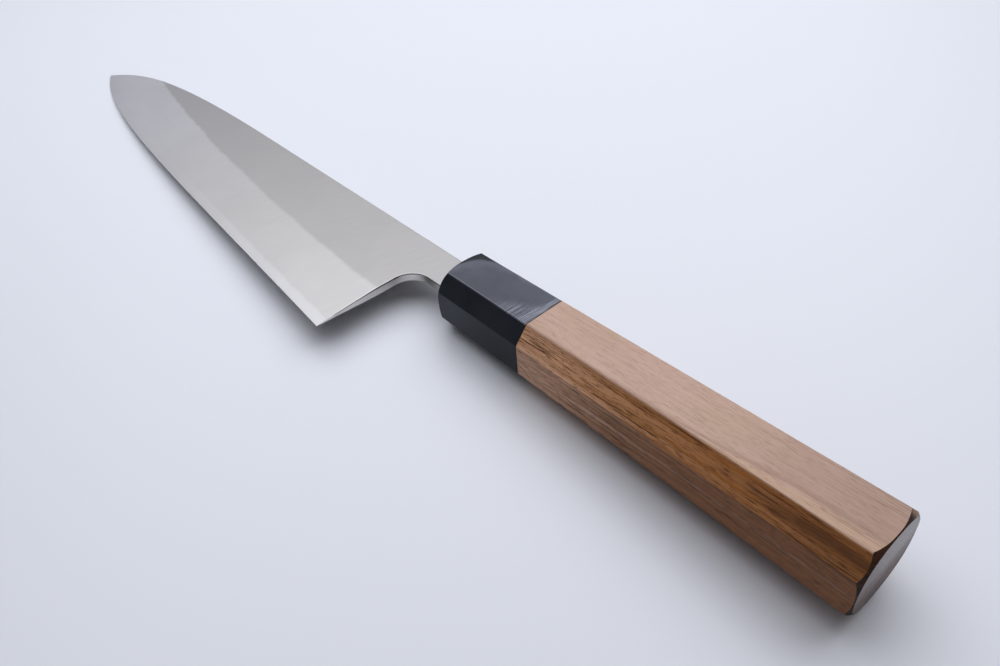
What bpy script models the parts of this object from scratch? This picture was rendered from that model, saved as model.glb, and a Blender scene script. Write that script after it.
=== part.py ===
"""Gyuto: a long chef's knife with a laminated blade and an octagonal wooden handle.

The knife lies on its right side, as it is laid down on a table. It is drawn in the knife's own frame and then
set down. In that frame x runs along the handle's axis to the tip and is zero at the front of the ferrule,
y runs from the spine towards the cutting edge, and z runs out of the blade's left side. All sizes are metres.
"""

import math

import bmesh
import bpy
import numpy as np
from mathutils import Vector
from mathutils.geometry import interpolate_bezier

MM = 0.001

# Blade outline
NECK_LENGTH = 18.8 * MM          # ferrule to heel
BLADE_LENGTH = 240.4 * MM        # heel to tip
SPINE_ABOVE_NECK = 6.9 * MM      # spine over the handle's axis, at the ferrule
SPINE_ABOVE_BEND = 7.75 * MM     # the same where the spine starts to fall
NOSE_LENGTH = 121.7 * MM         # where the spine starts to fall, back from the tip
SPINE_PULL = 97.3 * MM           # reach of the spine's curve out of the bend
NOSE_PULL = 14.6 * MM            # reach of the spine's curve into the tip
NOSE_SLOPE = math.radians(44.5)
HEEL_DROP = 43.4 * MM            # heel under the handle's axis
TIP_DROP = 11.8 * MM             # tip under the handle's axis
EDGE_PULL = 120.8 * MM           # reach of the edge's curve out of the heel
EDGE_SLOPE = math.radians(4.6)
BELLY_PULL = 40.3 * MM           # reach of the edge's curve into the tip
BELLY_SLOPE = math.radians(28)

# Choil and neck
NECK_DROP = 6.2 * MM             # underside of the neck under the handle's axis
CHOIL_RADIUS = 7.8 * MM
NECK_INSERT = 5.0 * MM           # full neck inside the ferrule
NECK_SHOULDER = 2.0 * MM         # step down from neck to tang

# Grind
HEEL_THICKNESS = 3.3 * MM        # across the flats at the ferrule
TIP_THICKNESS = 1.45 * MM        # across the flats, run on to the tip
BEVEL_AT_HEEL = 23.0 * MM        # shinogi line over the heel
BEVEL_END = 34.3 * MM            # where the shinogi line is drawn to, back from the tip
BEVEL_END_ABOVE = 1.6 * MM       # shinogi line over the handle's axis there
BEVEL_PULL_HEEL = 64.0 * MM
BEVEL_PULL_END = 53.6 * MM
BEVEL_SLOPE_HEEL = math.radians(0.8)
BEVEL_SLOPE_END = math.radians(11.8)
BEVEL_ROUNDNESS = 0.85           # below 1 the bevel swells out a little, as a clam shell does
EDGE_EASING = 0.6 * MM           # rounding of the spine, neck and choil

# Laminations
CORE_THICKNESS_HEEL = 0.82 * MM
CORE_THICKNESS_TIP = 0.46 * MM
WELD_GAP = 0.05 * MM             # drawn gap at each forge weld

# Tang
TANG_LENGTH = 92.0 * MM          # ferrule's front to the tang's end
TANG_HALF_HEIGHT = 4.8 * MM
TANG_END_HALF_HEIGHT = 2.0 * MM
TANG_THICKNESS = 3.0 * MM
TANG_END_THICKNESS = 2.1 * MM

# Handle
HANDLE_LENGTH = 139.9 * MM
FERRULE_LENGTH = 35.8 * MM
FRONT_HALF_HEIGHT = 11.0 * MM
FRONT_HALF_WIDTH = 10.3 * MM
FRONT_CORNER = (4.35 * MM, 5.3 * MM)  # the octagon's corner cuts, measured along y and z
BUTT_HALF_HEIGHT = 12.55 * MM
BUTT_HALF_WIDTH = 11.5 * MM
BUTT_CORNER = (4.85 * MM, 5.5 * MM)
RIDGE_RADIUS = 0.35 * MM
END_INSET = 0.3 * MM             # what the oval end chamfer takes off mid-facet
END_CUT = 3.0 * MM               # how far the end chamfer is drawn
END_SQUARENESS = 2.5             # exponent of the oval: 2 is an ellipse
JOINT_GAP = 0.05 * MM            # ferrule to handle body

# Inside the handle
MOUTH_WALL = 8.0 * MM            # solid horn round the neck
BORE_RADIUS = 7.0 * MM
BORE_PAST_TANG = 16.0 * MM
DRILL_POINT = math.radians(31)
FIT_GAP = 0.3 * MM               # dowel to bore, tang to kerf, and at the dowel's ends
KERF_PAST_TANG = 3.0 * MM
SEAL_WALL = 0.55 * MM
SEAL_GAP = 0.12 * MM             # seal to neck and to mortise
SEAL_DEPTH = 3.5 * MM
SEAL_SETBACK = 0.3 * MM
SEAL_RADIUS = 1.0 * MM

# Fineness of the blade's surface
BLADE_STATIONS = 30
ARC_STEPS = 8
CURVE_SAMPLES = 400
EASING_STEPS = (0.0, 0.3, 1.0)   # rows across an eased edge, as shares of its easing
CORE_ROWS = (0.5, 0.85)          # rows between the core's bare line and the edge
CLADDING_ROWS = (0.35, 0.7)      # rows between the shinogi line and the feather edge
LEAST_FLAT = 0.1                 # least share of a section above the shinogi's row
LEAST_COVER = 0.4                # least share of a section above the core's bare line
SPINE_EASING_SHARE = 0.15        # most of a section's height that the spine's easing takes
FACE_EASING_SHARE = 0.6          # most of a cladding's thickness that an easing takes
WELD_DISTANCE = 0.002 * MM
BLADE_FOLD = math.radians(3)     # folds this sharp stay crisp on the blade

# Fineness of the handle
OVAL_SIDES = 96
BORE_SIDES = 48
RIDGE_STEPS = 3
MORTISE_STEPS = 4
HANDLE_FOLD = math.radians(20)   # folds this sharp stay crisp on the handle

# Search for the point or tilt where two things meet
STEEPEST_TILT = math.radians(15)
HALVINGS = 60

HEEL_X = NECK_LENGTH
TIP_X = NECK_LENGTH + BLADE_LENGTH
BEND_X = TIP_X - NOSE_LENGTH
BORE_DEPTH = TANG_LENGTH + BORE_PAST_TANG


# Outline curves: y as a function of x


def bezier_height(start, start_pull, end_pull, end):
    """Return y(x) along one Bezier curve that only ever moves forward in x."""
    knots = [Vector((x, y, 0.0)) for x, y in (start, start_pull, end_pull, end)]
    points = interpolate_bezier(*knots, CURVE_SAMPLES)
    xs = [point.x for point in points]
    ys = [point.y for point in points]
    return lambda x: float(np.interp(x, xs, ys))


def pulled(point, reach, slope):
    """A Bezier handle `reach` away from a point, at a slope towards the edge."""
    return (point[0] + reach * math.cos(slope), point[1] + reach * math.sin(slope))


TIP = (TIP_X, TIP_DROP)
HEEL = (HEEL_X, HEEL_DROP)
BEND = (BEND_X, -SPINE_ABOVE_BEND)
BACK_SLOPE = math.atan2(SPINE_ABOVE_NECK - SPINE_ABOVE_BEND, BEND_X)
SHINOGI_START = (HEEL_X, HEEL_DROP - BEVEL_AT_HEEL)
SHINOGI_END = (TIP_X - BEVEL_END, -BEVEL_END_ABOVE)

nose_curve = bezier_height(
    BEND,
    pulled(BEND, SPINE_PULL, BACK_SLOPE),
    pulled(TIP, -NOSE_PULL, NOSE_SLOPE),
    TIP,
)
edge_y = bezier_height(
    HEEL,
    pulled(HEEL, EDGE_PULL, -EDGE_SLOPE),
    pulled(TIP, -BELLY_PULL, -BELLY_SLOPE),
    TIP,
)
shinogi_curve = bezier_height(
    SHINOGI_START,
    pulled(SHINOGI_START, BEVEL_PULL_HEEL, -BEVEL_SLOPE_HEEL),
    pulled(SHINOGI_END, -BEVEL_PULL_END, -BEVEL_SLOPE_END),
    SHINOGI_END,
)


def spine_y(x):
    """The back of the blade: straight from the ferrule, then falling to the tip."""
    if x < BEND_X:
        return -SPINE_ABOVE_NECK + x * math.tan(BACK_SLOPE)
    return nose_curve(x)


def shinogi_y(x):
    """The line between flat and bevel. It runs on past the spine, where the whole face is bevel."""
    past = max(0.0, x - SHINOGI_END[0])
    return shinogi_curve(x) - past * math.tan(BEVEL_SLOPE_END)


def flat_half(x):
    """Half the thickness across the flats. They taper evenly, so each flat is a true plane."""
    return 0.5 * (HEEL_THICKNESS + (TIP_THICKNESS - HEEL_THICKNESS) * x / TIP_X)


def core_half(x):
    """Half the thickness of the core steel."""
    return 0.5 * (CORE_THICKNESS_HEEL + (CORE_THICKNESS_TIP - CORE_THICKNESS_HEEL) * x / TIP_X)


def surface_half(x, y):
    """Half the thickness of the whole blade, neck or tang at a point of its outline plane."""
    if x < -NECK_INSERT:
        back = (-NECK_INSERT - x) / (TANG_LENGTH - NECK_INSERT)
        return 0.5 * (TANG_THICKNESS + (TANG_END_THICKNESS - TANG_THICKNESS) * back)
    share = (edge_y(x) - y) / (edge_y(x) - shinogi_y(x))
    return flat_half(x) * min(1.0, max(0.0, share)) ** BEVEL_ROUNDNESS


def bevel_y(x, half):
    """Where on the bevel the blade is `half` to each side of its middle plane."""
    share = (half / flat_half(x)) ** (1.0 / BEVEL_ROUNDNESS)
    return edge_y(x) - share * (edge_y(x) - shinogi_y(x))


# Blade layers


def blade_stations(start, end):
    """Stations from the heel outwards, closer together towards the tip."""
    steps = [math.sin(0.5 * math.pi * i / BLADE_STATIONS) for i in range(BLADE_STATIONS + 1)]
    return [start + (end - start) * step for step in steps]


class Layer:
    """One layer of the laminated blade, between its inner face and its outer face.

    The layer's points are (x, y, d), where d is the distance in from an eased edge.
    """

    def __init__(self, low_y, middle_rows, end_x, easing):
        self.low_y = low_y
        self.middle_rows = middle_rows
        self.end_x = end_x
        self.easing = easing

    def upper_rows(self, x, inner_y):
        """Points from the spine down to inner_y, with the easing of the spine."""
        top = spine_y(x)
        reach = min(self.easing, SPINE_EASING_SHARE * max(0.0, inner_y - top))
        rows = [(x, top + reach * step, self.easing * step) for step in EASING_STEPS]
        return rows + [(x, inner_y, self.easing)]

    def split_y(self, x):
        """The row level with the top of the choil's curve, between spine and shinogi line."""
        arc_share = (NECK_DROP + CHOIL_RADIUS - spine_y(HEEL_X)) / (shinogi_y(HEEL_X) - spine_y(HEEL_X))
        low = max(shinogi_y(x), spine_y(x) + LEAST_FLAT * (self.low_y(x) - spine_y(x)))
        return spine_y(x) + arc_share * (low - spine_y(x))

    def neck_sections(self):
        """Sections across the tang and neck, then round the choil's curve to the blade."""
        tang_end = -TANG_LENGTH
        shoulder = -NECK_INSERT - NECK_SHOULDER
        sections = []
        for x in (tang_end, shoulder):
            back = (x - shoulder) / (tang_end - shoulder)
            half = TANG_HALF_HEIGHT + (TANG_END_HALF_HEIGHT - TANG_HALF_HEIGHT) * back
            upper = [(x, -half + self.easing * step, self.easing) for step in EASING_STEPS]
            lower = [(x, half - self.easing * step, self.easing) for step in reversed(EASING_STEPS)]
            sections.append(upper + lower)
        centre_x = HEEL_X - CHOIL_RADIUS
        centre_y = NECK_DROP + CHOIL_RADIUS
        for x in (-NECK_INSERT, 0.0, centre_x):
            lower = [(x, NECK_DROP - self.easing * step, self.easing * step) for step in reversed(EASING_STEPS)]
            sections.append(self.upper_rows(x, lower[0][1])[:-1] + lower)
        for i in range(1, ARC_STEPS + 1):
            angle = 0.5 * math.pi * i / ARC_STEPS
            lower = []
            for step in reversed(EASING_STEPS):
                radius = CHOIL_RADIUS + self.easing * step
                point = (centre_x + radius * math.sin(angle), centre_y - radius * math.cos(angle))
                lower.append((*point, self.easing * step))
            top_x = centre_x + (CHOIL_RADIUS + self.easing) * i / ARC_STEPS
            sections.append(self.upper_rows(top_x, lower[0][1])[:-1] + lower)
        return sections

    def blade_column(self, x, distance):
        """Points from the split row down to the layer's lower limit."""
        ys = [self.split_y(x)] + self.middle_rows(x) + [self.low_y(x)]
        return [(x, y, distance) for y in ys]

    def patches(self):
        """The layer's face as three grids of points that share their seams."""
        neck = self.neck_sections()
        stations = blade_stations(HEEL_X + self.easing, self.end_x)
        blade = [self.upper_rows(x, self.split_y(x)) for x in stations]
        arc_y = NECK_DROP + CHOIL_RADIUS
        choil = []
        for step in EASING_STEPS:
            column = self.blade_column(HEEL_X + self.easing * step, self.easing * step)
            column[0] = (column[0][0], arc_y, column[0][2])
            choil.append(column)
        choil += [self.blade_column(x, self.easing) for x in stations[1:]]
        seam = len(EASING_STEPS)
        blade[0][-1] = choil[seam - 1][0]
        upper = [section[:seam + 1] for section in neck[:-1]] + blade
        lower = [section[seam:] for section in neck]
        return upper, lower, choil

    def outline(self):
        """The layer's open sides: end to end along the spine, tang, neck and choil."""
        upper, lower, choil = self.patches()
        chain = [section[0] for section in reversed(upper)]
        chain += upper[0][1:] + lower[0][1:]
        chain += [section[-1] for section in lower[1:]]
        return chain + choil[0][1:]


def add_grid(bm, rows):
    """Add a grid of quads through rows of points."""
    verts = [[bm.verts.new(point) for point in row] for row in rows]
    for near, far in zip(verts, verts[1:]):
        for i in range(len(near) - 1):
            bm.faces.new((near[i], near[i + 1], far[i + 1], far[i]))


def layer_mesh(name, layer, outer_z, inner_z):
    """Close a layer between its outer and inner faces, with walls where its outline is open."""
    bm = bmesh.new()
    for height in (outer_z, inner_z):
        for patch in layer.patches():
            add_grid(bm, [[(x, y, height(x, y, d)) for x, y, d in row] for row in patch])
    chain = layer.outline()
    add_grid(bm, [[(x, y, height(x, y, d)) for x, y, d in chain] for height in (outer_z, inner_z)])
    bmesh.ops.remove_doubles(bm, verts=bm.verts, dist=WELD_DISTANCE)
    bmesh.ops.dissolve_degenerate(bm, edges=bm.edges, dist=WELD_DISTANCE)
    bmesh.ops.recalc_face_normals(bm, faces=bm.faces)
    return finish_mesh(name, bm, BLADE_FOLD)


def core_layer():
    """The core shows its own bevel below the claddings, down to the cutting edge."""

    def bare_from(x):
        return max(bevel_y(x, core_half(x)), spine_y(x) + LEAST_COVER * (edge_y(x) - spine_y(x)))

    def rows(x):
        bare = bare_from(x)
        return [bare] + [bare + share * (edge_y(x) - bare) for share in CORE_ROWS]

    return Layer(edge_y, rows, TIP_X, EDGE_EASING)


def core_height(side):
    """The core's surface on one side: flat under its cladding, then the bevel."""

    def height(x, y, _):
        return side * min(core_half(x), surface_half(x, y))

    return height


def cladding_limit():
    """Where the cladding's feather edge runs into the spine, close behind the tip."""
    near, far = HEEL_X, TIP_X
    for _ in range(HALVINGS):
        middle = 0.5 * (near + far)
        if bevel_y(middle, core_half(middle) + WELD_GAP) > spine_y(middle):
            near = middle
        else:
            far = middle
    return near


def cladding_layer():
    """The cladding covers the core from the spine down to its feather edge on the bevel."""

    def feather(x):
        return max(bevel_y(x, core_half(x) + WELD_GAP), spine_y(x))

    def rows(x):
        fold = max(shinogi_y(x), spine_y(x) + LEAST_FLAT * (feather(x) - spine_y(x)))
        return [fold] + [fold + share * (feather(x) - fold) for share in CLADDING_ROWS]

    return Layer(feather, rows, cladding_limit(), EDGE_EASING)


def cladding_height(side, outer):
    """The cladding's ground outer face, or its inner face along the weld."""

    def inner_height(x):
        return core_half(x) + WELD_GAP

    def height(x, y, distance):
        inner = inner_height(x)
        if not outer:
            return side * inner
        thick = max(0.0, surface_half(x, y) - inner)
        radius = min(EDGE_EASING, FACE_EASING_SHARE * thick)
        out = 1.0 - min(1.0, distance / EDGE_EASING)
        return side * (inner + thick - radius * (1.0 - math.sqrt(1.0 - out * out)))

    return height


# Handle forms


def rounded_outline(sides, radius, steps):
    """A convex outline of straight sides, each (normal's angle, distance), with its corners rounded."""
    points = []
    for (angle, distance), (next_angle, next_distance) in zip(sides, sides[1:] + sides[:1]):
        turn = (next_angle - angle) % (2.0 * math.pi)
        a = distance - radius
        b = next_distance - radius
        centre_y = (a * math.sin(next_angle) - b * math.sin(angle)) / math.sin(turn)
        centre_z = (b * math.cos(angle) - a * math.cos(next_angle)) / math.sin(turn)
        for i in range(steps + 1):
            bearing = angle + turn * i / steps
            points.append((centre_y + radius * math.cos(bearing), centre_z + radius * math.sin(bearing)))
    return points


def octagon(half_height, half_width, corner):
    """The eight sides of the handle's section."""
    along_y, along_z = corner
    slant = math.atan2(along_y, along_z)
    slanted = (half_height - along_y) * math.cos(slant) + half_width * math.sin(slant)
    quarter = [(0.0, half_height), (slant, slanted), (0.5 * math.pi, half_width), (math.pi - slant, slanted)]
    return quarter + [(angle + math.pi, distance) for angle, distance in quarter]


def between(front, butt, back):
    """A size of the section that grows evenly from the ferrule's front to the butt."""
    return front + (butt - front) * back


def handle_ring(x):
    """The eased octagon at a point along the handle, which swells towards the butt."""
    back = -x / HANDLE_LENGTH
    half_height = between(FRONT_HALF_HEIGHT, BUTT_HALF_HEIGHT, back)
    half_width = between(FRONT_HALF_WIDTH, BUTT_HALF_WIDTH, back)
    corner = [between(front, butt, back) for front, butt in zip(FRONT_CORNER, BUTT_CORNER)]
    outline = rounded_outline(octagon(half_height, half_width, corner), RIDGE_RADIUS, RIDGE_STEPS)
    return [(x, y, z) for y, z in outline]


def oval_ring(x, half_height, half_width):
    """A ring of the oval that the handle's ends are turned to."""
    ring = []
    for i in range(OVAL_SIDES):
        angle = 2.0 * math.pi * (i + 0.5) / OVAL_SIDES
        c = math.cos(angle)
        s = math.sin(angle)
        y = half_height * math.copysign(abs(c) ** (2.0 / END_SQUARENESS), c)
        z = half_width * math.copysign(abs(s) ** (2.0 / END_SQUARENESS), s)
        ring.append((x, y, z))
    return ring


def circle_ring(x, radius):
    """A ring for bores and dowels."""
    angles = [2.0 * math.pi * i / BORE_SIDES for i in range(BORE_SIDES)]
    return [(x, radius * math.cos(angle), radius * math.sin(angle)) for angle in angles]


def loft_mesh(name, rings, point=None):
    """Skin rings of equal count and cap the ends, or draw the far end to a point."""
    bm = bmesh.new()
    loops = [[bm.verts.new(vert) for vert in ring] for ring in rings]
    for near, far in zip(loops, loops[1:]):
        for i in range(len(near)):
            j = (i + 1) % len(near)
            bm.faces.new((near[i], near[j], far[j], far[i]))
    bm.faces.new(loops[0])
    if point is None:
        bm.faces.new(loops[-1])
    else:
        apex = bm.verts.new(point)
        for i in range(len(loops[-1])):
            bm.faces.new((loops[-1][i], loops[-1][(i + 1) % len(loops[-1])], apex))
    bmesh.ops.recalc_face_normals(bm, faces=bm.faces)
    return finish_mesh(name, bm)


def finish_mesh(name, bm, fold=HANDLE_FOLD):
    """Turn a bmesh into a mesh, smooth where it curves and sharp where it folds."""
    mesh = bpy.data.meshes.new(name)
    bm.to_mesh(mesh)
    bm.free()
    mesh.shade_smooth()
    mesh.set_sharp_from_angle(angle=fold)
    return mesh


def make_material(name, color, roughness, metallic):
    """A plain material with a sub-part's colour and finish."""
    material = bpy.data.materials.new(name)
    material.use_nodes = True
    shader = material.node_tree.nodes["Principled BSDF"]
    shader.inputs["Base Color"].default_value = (*color, 1.0)
    shader.inputs["Roughness"].default_value = roughness
    shader.inputs["Metallic"].default_value = metallic
    return material


def add_piece(name, mesh, material, parent):
    """Place one named piece of the knife."""
    piece = bpy.data.objects.new(name, mesh)
    piece.data.materials.append(material)
    piece.parent = parent
    bpy.context.scene.collection.objects.link(piece)
    return piece


def add_cutter(name, mesh, parent):
    """A shape that only cuts or trims others."""
    cutter = bpy.data.objects.new(name, mesh)
    cutter.parent = parent
    cutter.hide_render = True
    cutter.display_type = "WIRE"
    bpy.context.scene.collection.objects.link(cutter)
    return cutter


def cut(piece, cutter, operation):
    """Cut a piece with a cutter, or keep what lies inside it."""
    modifier = piece.modifiers.new(cutter.name, "BOOLEAN")
    modifier.operation = operation
    modifier.object = cutter
    modifier.solver = "EXACT"


# Pieces


def make_blade(knife):
    """The three forged layers, core in the middle."""
    core_steel = make_material("core_steel", (0.66, 0.67, 0.68), 0.24, 1.0)
    soft_steel = make_material("soft_steel", (0.52, 0.53, 0.54), 0.36, 1.0)
    core = layer_mesh("blade_core", core_layer(), core_height(1), core_height(-1))
    pieces = [add_piece("blade_core", core, core_steel, knife)]
    for name, side in (("cladding_left", 1), ("cladding_right", -1)):
        mesh = layer_mesh(name, cladding_layer(), cladding_height(side, True), cladding_height(side, False))
        pieces.append(add_piece(name, mesh, soft_steel, knife))
    return pieces


def mortise_sides(clearance):
    """The four sides of the neck's section, grown by a clearance."""
    half = flat_half(0.0) + clearance
    distances = (NECK_DROP + clearance, half, SPINE_ABOVE_NECK + clearance, half)
    return [(0.5 * math.pi * i, distance) for i, distance in enumerate(distances)]


def mortise_ring(x, clearance, radius):
    """The mortise's section at x."""
    return [(x, y, z) for y, z in rounded_outline(mortise_sides(clearance), radius, MORTISE_STEPS)]


def make_handle(knife):
    """Ferrule and handle body: one tapered octagon, parted at the joint and turned oval at both ends."""
    horn = make_material("buffalo_horn", (0.018, 0.020, 0.024), 0.16, 0.0)
    walnut = make_material("walnut", (0.34, 0.20, 0.11), 0.48, 0.0)
    joint = -FERRULE_LENGTH
    spare = END_CUT
    front = loft_mesh("ferrule", [handle_ring(spare), handle_ring(joint)])
    back = loft_mesh("handle_body", [handle_ring(joint - JOINT_GAP), handle_ring(-HANDLE_LENGTH - spare)])
    ferrule = add_piece("ferrule", front, horn, knife)
    body = add_piece("handle_body", back, walnut, knife)

    front_height = FRONT_HALF_HEIGHT - END_INSET
    front_width = FRONT_HALF_WIDTH - END_INSET
    butt_height = BUTT_HALF_HEIGHT - END_INSET
    butt_width = BUTT_HALF_WIDTH - END_INSET
    turned_ends = [
        oval_ring(0.0, front_height, front_width),
        oval_ring(-END_CUT, front_height + END_CUT, front_width + END_CUT),
        oval_ring(END_CUT - HANDLE_LENGTH, butt_height + END_CUT, butt_width + END_CUT),
        oval_ring(-HANDLE_LENGTH, butt_height, butt_width),
    ]
    envelope = add_cutter("turned_ends", loft_mesh("turned_ends", turned_ends), knife)
    clearance = SEAL_WALL + 2.0 * SEAL_GAP
    mortise_radius = SEAL_RADIUS + SEAL_GAP
    slot = [mortise_ring(x, clearance, mortise_radius) for x in (spare, -MOUTH_WALL - FIT_GAP)]
    mortise = add_cutter("mortise", loft_mesh("mortise", slot), knife)
    drill_tip = (-BORE_DEPTH - BORE_RADIUS * math.tan(DRILL_POINT), 0.0, 0.0)
    drilled = [circle_ring(-MOUTH_WALL, BORE_RADIUS), circle_ring(-BORE_DEPTH, BORE_RADIUS)]
    bore = add_cutter("dowel_bore", loft_mesh("dowel_bore", drilled, drill_tip), knife)
    for piece in (ferrule, body):
        cut(piece, envelope, "INTERSECT")
        cut(piece, bore, "DIFFERENCE")
    cut(ferrule, mortise, "DIFFERENCE")
    return [ferrule, body]


def make_dowel(knife):
    """The dowel that joins ferrule and handle body, sawn down the middle for the tang."""
    pale_wood = make_material("dowel_wood", (0.62, 0.47, 0.30), 0.6, 0.0)
    radius = BORE_RADIUS - FIT_GAP
    front = -MOUTH_WALL - FIT_GAP
    back = -BORE_DEPTH + FIT_GAP
    mesh = loft_mesh("tang_dowel", [circle_ring(front, radius), circle_ring(back, radius)])
    dowel = add_piece("tang_dowel", mesh, pale_wood, knife)
    half = 0.5 * TANG_THICKNESS + FIT_GAP
    kerf_rings = []
    for x in (front + FIT_GAP, -TANG_LENGTH - KERF_PAST_TANG):
        kerf_rings.append([(x, y * BORE_RADIUS, z * half) for y, z in ((1, 1), (-1, 1), (-1, -1), (1, -1))])
    kerf = add_cutter("kerf", loft_mesh("kerf", kerf_rings), knife)
    cut(dowel, kerf, "DIFFERENCE")
    return dowel


def make_seal(knife):
    """The ring of sealing compound between neck and mortise."""
    compound = make_material("sealing_compound", (0.05, 0.045, 0.04), 0.4, 0.0)
    outer = [mortise_ring(x, SEAL_GAP + SEAL_WALL, SEAL_RADIUS) for x in (-SEAL_SETBACK, -SEAL_DEPTH)]
    inner = [mortise_ring(x, SEAL_GAP, SEAL_RADIUS - SEAL_WALL) for x in (-SEAL_DEPTH, -SEAL_SETBACK)]
    bm = bmesh.new()
    loops = [[bm.verts.new(vert) for vert in ring] for ring in outer + inner]
    for near, far in zip(loops, loops[1:] + loops[:1]):
        for i in range(len(near)):
            j = (i + 1) % len(near)
            bm.faces.new((near[i], near[j], far[j], far[i]))
    bmesh.ops.recalc_face_normals(bm, faces=bm.faces)
    return add_piece("mouth_seal", finish_mesh("mouth_seal", bm), compound, knife)


# Setting the knife down


def corners_of(pieces):
    """The corners of the pieces as they are cut, in the knife's frame."""
    graph = bpy.context.evaluated_depsgraph_get()
    found = []
    for piece in pieces:
        evaluated = piece.evaluated_get(graph)
        mesh = evaluated.to_mesh()
        found += [tuple(vert.co) for vert in mesh.vertices]
        evaluated.to_mesh_clear()
    return np.array(found)


def laid_down(points, tilt):
    """Points turned about y, so that the tip sinks as the tilt grows."""
    x = points[:, 0] * math.cos(tilt) + points[:, 2] * math.sin(tilt)
    z = points[:, 2] * math.cos(tilt) - points[:, 0] * math.sin(tilt)
    return np.column_stack((x, points[:, 1], z))


def set_down(knife, blade, handle):
    """Tip the knife forward until blade and ferrule both touch the table, and centre it there.

    The long steel blade outweighs the handle, so the butt stays in the air.
    """
    blade_corners = corners_of(blade)
    handle_corners = corners_of(handle)
    level, tipped = 0.0, STEEPEST_TILT
    for _ in range(HALVINGS):
        tilt = 0.5 * (level + tipped)
        if laid_down(blade_corners, tilt)[:, 2].min() > laid_down(handle_corners, tilt)[:, 2].min():
            level = tilt
        else:
            tipped = tilt
    resting = laid_down(np.vstack((blade_corners, handle_corners)), tilt)
    low = resting.min(axis=0)
    high = resting.max(axis=0)
    knife.rotation_euler = (0.0, tilt, 0.0)
    knife.location = (-0.5 * (low[0] + high[0]), -0.5 * (low[1] + high[1]), -low[2])


def main():
    """Build the knife and lay it on the table."""
    for thing in list(bpy.data.objects):
        bpy.data.objects.remove(thing, do_unlink=True)
    knife = bpy.data.objects.new("knife", None)
    bpy.context.scene.collection.objects.link(knife)
    blade = make_blade(knife)
    handle = make_handle(knife)
    make_dowel(knife)
    make_seal(knife)
    set_down(knife, blade, handle)
    bpy.context.view_layer.update()


main()
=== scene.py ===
import math

import bmesh
import bpy
import numpy as np
from mathutils import Matrix, Vector
from mathutils.geometry import interpolate_bezier


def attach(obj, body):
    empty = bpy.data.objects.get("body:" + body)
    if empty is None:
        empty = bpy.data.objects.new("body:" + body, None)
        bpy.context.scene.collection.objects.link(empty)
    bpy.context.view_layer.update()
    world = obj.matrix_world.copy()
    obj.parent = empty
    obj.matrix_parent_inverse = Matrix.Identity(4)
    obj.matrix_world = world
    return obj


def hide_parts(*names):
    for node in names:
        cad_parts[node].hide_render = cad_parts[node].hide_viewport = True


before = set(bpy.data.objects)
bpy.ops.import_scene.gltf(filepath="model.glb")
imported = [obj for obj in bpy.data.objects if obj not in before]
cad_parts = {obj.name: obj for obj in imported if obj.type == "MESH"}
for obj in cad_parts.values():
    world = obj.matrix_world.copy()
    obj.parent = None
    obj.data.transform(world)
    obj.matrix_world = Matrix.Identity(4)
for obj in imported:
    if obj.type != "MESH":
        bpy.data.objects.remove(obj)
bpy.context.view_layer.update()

# The knife is drawn along its own axes: x from the ferrule's front to the tip, y from the spine to the
# cutting edge, z out of the blade's left side. lay_down then lays each piece on the table. Sizes are metres.

MM = 0.001

# How the knife lies on the table
LYING_TILT = math.radians(2.25627)
LYING_PLACE = (-59.383 * MM, -15.427 * MM, 10.283 * MM)

# Blade outline
HEEL_X = 18.8 * MM
TIP_X = 259.2 * MM
SPINE_AT_NECK = -6.9 * MM
SPINE_AT_BEND = -7.75 * MM
BEND_X = 137.5 * MM
SPINE_PULL = 97.3 * MM
NOSE_PULL = 14.6 * MM
NOSE_SLOPE = math.radians(44.5)
HEEL_DROP = 43.4 * MM
TIP_DROP = 11.8 * MM
EDGE_PULL = 120.8 * MM
EDGE_SLOPE = math.radians(4.6)
BELLY_PULL = 40.3 * MM
BELLY_SLOPE = math.radians(28)

# Choil, neck and tang
NECK_DROP = 6.2 * MM
CHOIL_RADIUS = 7.8 * MM
NECK_INSERT = 5.0 * MM
NECK_SHOULDER = 2.0 * MM
TANG_LENGTH = 92.0 * MM
TANG_HALF_HEIGHT = 4.8 * MM
TANG_END_HALF_HEIGHT = 2.0 * MM
TANG_HALF_THICKNESS = 1.5 * MM
TANG_END_HALF_THICKNESS = 1.05 * MM

# Grind and laminations
FLAT_HALF_HEEL = 1.65 * MM
FLAT_HALF_TIP = 0.725 * MM
CORE_HALF_HEEL = 0.41 * MM
CORE_HALF_TIP = 0.23 * MM
SHINOGI_AT_HEEL = 20.4 * MM
SHINOGI_END_X = 224.9 * MM
SHINOGI_AT_END = -1.6 * MM
SHINOGI_PULL_HEEL = 64.0 * MM
SHINOGI_PULL_END = 53.6 * MM
SHINOGI_SLOPE_HEEL = math.radians(0.8)
SHINOGI_SLOPE_END = math.radians(11.8)
BEVEL_ROUNDNESS = 0.85
RIM_ROUNDING = 0.6 * MM          # of the choil, neck and spine
APEX_SHARE = 0.93                # where the fine edge bevel starts, down the bare core
APEX_RISE = 0.14                 # and its share of the core's thickness there

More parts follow.
